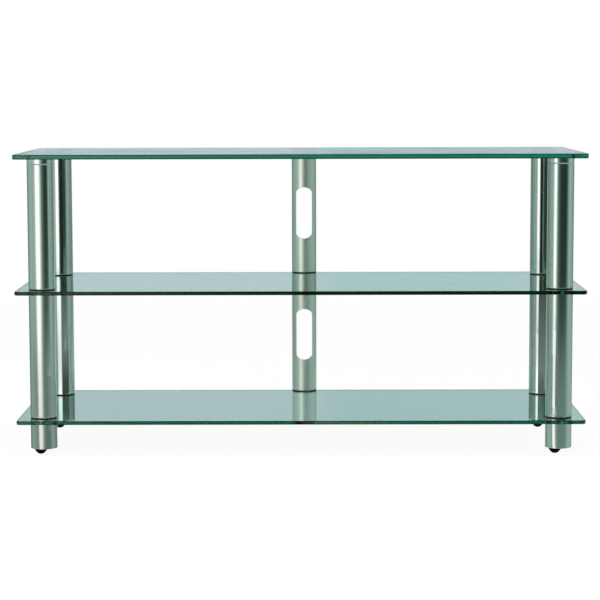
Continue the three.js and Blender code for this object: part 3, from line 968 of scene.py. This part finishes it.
def makeFloor():
    material, tree = newMaterial("paintedFloor")
    place = addNode(tree, "ShaderNodeTexCoord")
    mottle = addNode(tree, "ShaderNodeTexNoise", inputs={
        "Vector": place["Object"], "Scale": studio["mottleScale"],
        "Detail": studio["mottleDetail"]})
    tone = addNode(tree, "ShaderNodeValToRGB", inputs={0: mottle[0]})
    for stop, colour in zip(tone[0].node.color_ramp.elements, studio["floorTones"]):
        stop.color = linear(colour)
    paint = addNode(tree, "ShaderNodeBsdfDiffuse", inputs={"Color": tone[0]})
    glow = addNode(tree, "ShaderNodeEmission", inputs={"Color": (1, 1, 1, 1), "Strength": 1.0})
    reach = addNode(tree, "ShaderNodeVectorMath", {"operation": "LENGTH"}, {0: place["Object"]})
    far = addNode(tree, "ShaderNodeMapRange", inputs={
        0: reach["Value"], 1: studio["glowReach"][0], 2: studio["glowReach"][1],
        3: studio["floorGlow"], 4: 1.0})
    share = addNode(tree, "ShaderNodeMath", {"operation": "MULTIPLY"}, {
        0: far[0], 1: seenDirectly(tree)})
    floorMix = addNode(tree, "ShaderNodeMixShader", inputs={
        0: share[0], 1: paint[0], 2: glow[0]})
    addNode(tree, "ShaderNodeOutputMaterial", inputs={0: floorMix[0]})
    mesh = bpy.data.meshes.new("studioFloor")
    r, z = studio["floorRadius"], -studio["floorDrop"]
    mesh.from_pydata([(-r, -r, z), (r, -r, z), (r, r, z), (-r, r, z)], [], [(0, 1, 2, 3)])
    mesh.materials.append(material)
    linked(bpy.data.objects.new("studioFloor", mesh))


# Upright cards round the rack, which shape the reflections in the metal and nothing else:
# each point in plan, in metres, and its glow high up and at the floor, or one glow for both.
# "lowShares" is how much of the low glow each height has.
room = (0.24, 0.34, 0.31)
flats = {
    "heights": (0.0, 0.03, 0.09, 0.19, 5.0), "lowShares": (1.0, 0.7, 0.25, 0.0, 0.0),
    "ring": [
        ((-2.85, 2.00), room),
        ((-3.20, 1.40), (0.38, 0.50, 0.46)),
        ((-2.77, 0.60), (0.44, 0.56, 0.52)),
        ((-2.40, -0.30), (0.58, 0.72, 0.67), (0.40, 0.51, 0.47)),
        ((-2.03, -0.72), (0.50, 0.60, 0.54), (0.35, 0.45, 0.42)),
        ((-1.70, -0.99), (0.56, 0.66, 0.60), (0.32, 0.42, 0.38)),
        ((-1.50, -1.15), (0.76, 0.84, 0.78), (0.36, 0.44, 0.41)),
        ((-1.38, -1.22), (1.40, 1.40, 1.35), (0.90, 0.92, 0.88)),
        ((-1.25, -1.29), (2.20, 2.06, 2.02), (1.56, 1.36, 1.36)),
        ((-0.80, -1.52), (2.20, 2.06, 2.02), (1.56, 1.36, 1.36)),
        ((-0.66, -1.57), (1.38, 1.38, 1.33), (0.95, 0.93, 0.90)),
        ((-0.48, -1.59), (0.90, 1.00, 0.95), (0.52, 0.60, 0.56)),
        ((-0.28, -1.58), (0.36, 0.44, 0.40), (0.31, 0.38, 0.345)),
        ((0.00, -1.56), (0.15, 0.22, 0.18), (0.24, 0.32, 0.29)),
        ((0.25, -1.53), (0.075, 0.12, 0.095), (0.20, 0.28, 0.25)),
        ((0.60, -1.48), (0.03, 0.05, 0.04), (0.20, 0.29, 0.26)),
        ((1.75, -1.36), (0.03, 0.05, 0.04), (0.20, 0.29, 0.26)),
        ((1.95, -1.32), (0.08, 0.13, 0.10), (0.22, 0.30, 0.27)),
        ((2.10, -1.07), (0.25, 0.36, 0.32), (0.28, 0.38, 0.34)),
        ((2.30, -0.60), (0.55, 0.72, 0.67), (0.42, 0.52, 0.49)),
        ((2.60, 0.15), (0.48, 0.62, 0.57), (0.42, 0.52, 0.49)),
        ((3.15, 1.40), (0.38, 0.50, 0.46)),
        ((2.85, 2.00), room),
        ((1.60, 3.20), room),
        ((1.15, 3.20), room),
        ((1.00, 3.20), (0.50, 0.58, 0.64)),
        ((0.75, 3.20), (0.38, 0.52, 0.555)),
        ((0.15, 3.20), (0.37, 0.515, 0.547)),
        ((0.00, 3.20), (0.484, 0.566, 0.60)),
        ((-1.00, 3.20), (0.484, 0.566, 0.60)),
        ((-1.15, 3.20), room),
        ((-1.60, 3.20), room),
        ((-2.85, 2.00), room),
    ],
}


def glowMaterial(name, oneSided):
    material, tree = newMaterial(name)
    glow = addNode(tree, "ShaderNodeAttribute", {"attribute_name": "glow"})
    shine = addNode(tree, "ShaderNodeEmission", inputs={"Color": glow["Color"]})
    if oneSided:
        # Clear from behind, and to the sharp mirror rays of glass
        side = addNode(tree, "ShaderNodeNewGeometry")
        path = addNode(tree, "ShaderNodeLightPath")
        unseen = addNode(tree, "ShaderNodeMath", {"operation": "MAXIMUM"}, {
            0: side["Backfacing"], 1: path["Is Singular Ray"]})
        clear = addNode(tree, "ShaderNodeBsdfTransparent")
        shine = addNode(tree, "ShaderNodeMixShader", inputs={
            0: unseen[0], 1: shine[0], 2: clear[0]})
    addNode(tree, "ShaderNodeOutputMaterial", inputs={0: shine[0]})
    return material


def hideFrom(obj, *rays):
    for ray in rays:
        setattr(obj, "visible_" + ray, False)


# Cards that only mirror rays see. A sheet is a row of columns, and a column a row of points,
# each with its glow.
def makeCards(name, sheets, oneSided=False):
    verts, faces, colours = [], [], []
    for sheet in sheets:
        rows = len(sheet[0])
        for i, column in enumerate(sheet):
            for k, (point, glow) in enumerate(column):
                if i and k:
                    here = len(verts)
                    faces.append((here - rows - 1, here - 1, here, here - rows))
                verts.append(point)
                colours.append(glow)
    mesh = bpy.data.meshes.new(name)
    mesh.from_pydata(verts, [], faces)
    layer = mesh.attributes.new("glow", "FLOAT_COLOR", "POINT")
    layer.data.foreach_set("color", [c for colour in colours for c in (*colour, 1.0)])
    mesh.materials.append(glowMaterial(name, oneSided))
    obj = linked(bpy.data.objects.new(name, mesh))
    hideFrom(obj, "camera", "diffuse", "transmission", "volume_scatter", "shadow")


def makeFlats():
    makeCards("studioFlats", [[
        [((x, y, z), [share * a + (1 - share) * b for a, b in zip(glows[-1], glows[0])])
         for z, share in zip(flats["heights"], flats["lowShares"])]
        for (x, y), *glows in flats["ring"]]])


# A fan of cards on the floor round each front leg, up to the flats or the middle line. Each
# way out glows like the flat at its end, so the tubes' reflections run down to their feet.
fans = {"leg": (0.55, -0.209), "start": 0.004, "height": 0.0004, "gain": {-1: 0.95, 1: 1.25}}


def makeFan(side):
    leg, spokes = Vector((side * fans["leg"][0], fans["leg"][1])), []
    for (x, y), *glows in flats["ring"]:
        reach = Vector((x, y)) - leg
        share = 1.0 if x * side >= 0 else leg.x / (leg.x - x)
        near = leg + reach.normalized() * fans["start"]
        far = leg + reach * share
        tone = [fans["gain"][side] * c for c in glows[-1]]
        spokes.append([((end.x, end.y, fans["height"]), tone) for end in (near, far)])
    makeCards("floorFan", [list(zip(*spokes))])


# Small one-sided cards close to the legs and the cable tubes, which paint highlights and dark
# bands into the tubes' reflections: where both ends stand in plan, the glow at each end, and the
# share of it at each height.
smallCards = [
    # Dark, before the rear legs' upper tubes
    (((-0.543, 0.10), (-0.522, 0.10)), ((0.02, 0.03, 0.025),) * 2, ((0.345, 1), (0.63, 1))),
    (((0.524, 0.10), (0.543, 0.10)), ((0.02, 0.03, 0.025),) * 2, ((0.345, 1), (0.63, 1))),
    # Before the cable tubes and to their right, upper and lower
    (((0.050, 0.12), (0.100, 0.12)), ((0.38, 0.46, 0.40),) * 2, ((0.345, 1), (0.62, 1))),
    (((0.058, 0.12), (0.110, 0.12)), ((0.34, 0.42, 0.36),) * 2, ((0.07, 1), (0.34, 1))),
    # Before the front right leg's lower tube: mid grey, bright, dark
    (((0.465, -0.2135), (0.5155, -0.2135)), ((0.38, 0.47, 0.44),) * 2, ((0.1, 1), (0.21, 1))),
    (((0.5155, -0.2135), (0.5323, -0.2135)), ((1.56, 1.49, 1.53),) * 2,
     ((0.098, 1.07), (0.16, 0.94), (0.262, 1.14))),
    (((0.5323, -0.2135), (0.5415, -0.2135)), ((0.25, 0.31, 0.28),) * 2, ((0.1, 1), (0.21, 1))),
    # Beside the front left leg's lower tube
    (((-0.515, -0.238), (-0.515, -0.2005)), ((0.21, 0.26, 0.24), (0.37, 0.45, 0.42)),
     ((0.0785, 1), (0.165, 1))),
    # Before the rear left leg's lower tube: bright, dark
    (((-0.5562, 0.1205), (-0.5453, 0.1205)), ((1.47, 1.40, 1.44),) * 2,
     ((0.0785, 1.25), (0.14, 0.96), (0.2, 0.98), (0.335, 1.4))),
    (((-0.5436, 0.1205), (-0.500, 0.1205)), ((0.085, 0.10, 0.09),) * 2,
     ((0.0785, 0.95), (0.11, 1.1), (0.178, 2.9))),
    # Before the rear right leg's lower tube: bright, dark
    (((0.5208, 0.1205), (0.5333, 0.1205)), ((1.52, 1.45, 1.49),) * 2,
     ((0.0785, 1.28), (0.125, 1.28), (0.165, 0.97), (0.215, 1))),
    (((0.5335, 0.1205), (0.5537, 0.1205)), ((0.17, 0.20, 0.19),) * 2,
     ((0.0785, 1), (0.1, 1.05), (0.135, 1.6), (0.335, 0.6))),
    # Before the rear foot tubes, which are seen through the bottom glass
    (((-0.5554, 0.1205), (-0.5446, 0.1205)), ((3.5, 3.4, 3.4),) * 2, ((0.001, 1), (0.0685, 1))),
    (((0.5226, 0.1205), (0.5336, 0.1205)), ((3.3, 3.2, 3.2),) * 2, ((0.001, 1), (0.0685, 1))),
]


def makeSmallCards():
    makeCards("smallCards", [
        [[((*end, z), [share * c for c in tone]) for z, share in rows]
         for end, tone in zip(ends[::-1], tones[::-1])]
        for ends, tones, rows in smallCards], oneSided=True)


# Softboxes, in metres
lamps = {
    "leftSoftbox": {
        "place": (-1.6, -2.2, 1.6), "aim": (0, 0, 0.3), "size": (1.2, 1.6), "watts": 45},
    "topSoftbox": {"place": (0, -0.3, 2.8), "aim": (0, 0, 0), "size": (2.6, 2.0), "watts": 60},
    "rightFill": {"place": (2.4, -1.4, 1.4), "aim": (0, 0, 0.3), "size": (1.2, 1.6), "watts": 18},
}


def makeLamp(name, lamp):
    data = bpy.data.lights.new(name, "AREA")
    data.shape = "RECTANGLE"
    data.size, data.size_y = lamp["size"]
    data.energy = lamp["watts"]
    obj = linked(bpy.data.objects.new(name, data))
    obj.location = lamp["place"]
    way = Vector(lamp["aim"]) - Vector(lamp["place"])
    obj.rotation_euler = way.to_track_quat("-Z", "Y").to_euler()
    hideFrom(obj, "camera", "glossy", "transmission")


makeWorld()
makeFloor()
makeFlats()
for side in fans["gain"]:
    makeFan(side)
makeSmallCards()
for name, lamp in lamps.items():
    makeLamp(name, lamp)
print("studio made")

scene = bpy.context.scene
scene.view_settings.view_transform = "Standard"
# A look along a shelf is turned back inside the glass six times or more.
scene.cycles.max_bounces = 20
scene.cycles.glossy_bounces = 12
scene.cycles.transmission_bounces = 16
